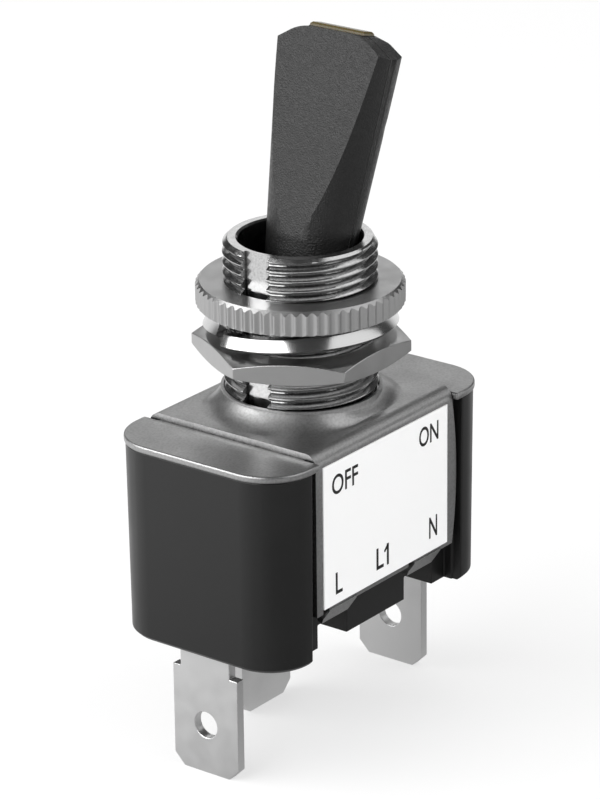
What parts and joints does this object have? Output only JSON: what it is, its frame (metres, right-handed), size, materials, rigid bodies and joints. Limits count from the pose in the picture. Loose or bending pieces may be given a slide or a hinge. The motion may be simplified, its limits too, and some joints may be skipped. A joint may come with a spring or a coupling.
{
  "type": "panel toggle switch",
  "caption": "Panel toggle switch with a flat lit lever on a threaded bushing, a steel-strapped black housing and blade terminals.",
  "frame": {"origin": "on the bushing's axis, at the centre of its open rim", "axes": "+Z along the bushing, out of the panel towards the lever's tip; +X towards the side the lever leans to when closed (the N end); the label faces -Y"},
  "size_m": [0.0282, 0.017, 0.056],
  "materials": {
    "black_moulding": "black moulded phenolic with a faint sheen",
    "zinc_sheet": "satin zinc plated sheet",
    "white_label": "white printed film",
    "bright_nickel": "bright nickel plate",
    "satin_nickel": "satin nickel plate",
    "bare_steel": "plain drawn steel",
    "black_lever": "black moulding, finely textured on its flats",
    "amber_lens": "translucent amber lens",
    "clear_resin": "cast diffusing resin",
    "resistor_enamel": "tan enamel",
    "brass_part": "plain brass",
    "contact_silver": "silver contact alloy",
    "tinned_brass": "matt tin plate"
  },
  "bodies": {
    "switch_body": {"housing": "black_moulding", "cover_plate": "zinc_sheet", "frame": "zinc_sheet", "label": "white_label", "bushing": "bright_nickel", "pivot_pin": "bare_steel", "lock_washer": "bright_nickel", "fixed_contact": "contact_silver", "cradle": "tinned_brass", "cradle_rivet": "brass_part", "terminal_line": "tinned_brass", "terminal_load": "tinned_brass", "terminal_neutral": "tinned_brass", "earth_spring": "bare_steel"},
    "lever_body": {"lever": "black_lever", "tip_lens": "amber_lens", "led": "clear_resin", "led_resistor": "resistor_enamel", "plunger_spring": "bare_steel"},
    "plunger_body": {"plunger": "brass_part"},
    "rocker_body": {"rocker": "brass_part", "rocker_pin": "bare_steel", "moving_contact": "contact_silver"},
    "knurled_nut_body": {"knurled_nut": "satin_nickel"},
    "hex_nut_body": {"hex_nut": "satin_nickel"}
  },
  "joints": [
    {"name": "lever_tilt", "type": "hinge", "parent": "switch_body", "child": "lever_body", "pos_m": [0, 0, -0.00615], "axis": [0, 1, 0], "range_deg": [-29.6, 0]},
    {"name": "rocker_tilt", "type": "hinge", "parent": "switch_body", "child": "rocker_body", "pos_m": [0, 0, -0.02195], "axis": [0, 1, 0], "range_deg": [0, 18]},
    {"name": "plunger_slide", "type": "slide", "parent": "lever_body", "child": "plunger_body", "axis": [0.2555, 0, 0.9668], "range_m": [0, 0.0006], "stiffness_N_per_m": 900, "springref_m": -0.002, "deforming": ["plunger_spring"]},
    {"name": "knurled_nut_turn", "type": "hinge", "parent": "switch_body", "child": "knurled_nut_body", "pos_m": [0, 0, -0.00435], "axis": [0, 0, 1], "continuous": true},
    {"name": "hex_nut_turn", "type": "hinge", "parent": "switch_body", "child": "hex_nut_body", "pos_m": [0, 0, -0.0087], "axis": [0, 0, 1], "continuous": true}
  ],
  "couplings": [
    {"joint": "rocker_tilt", "follows": "lever_tilt", "ratio": -0.60811}
  ]
}
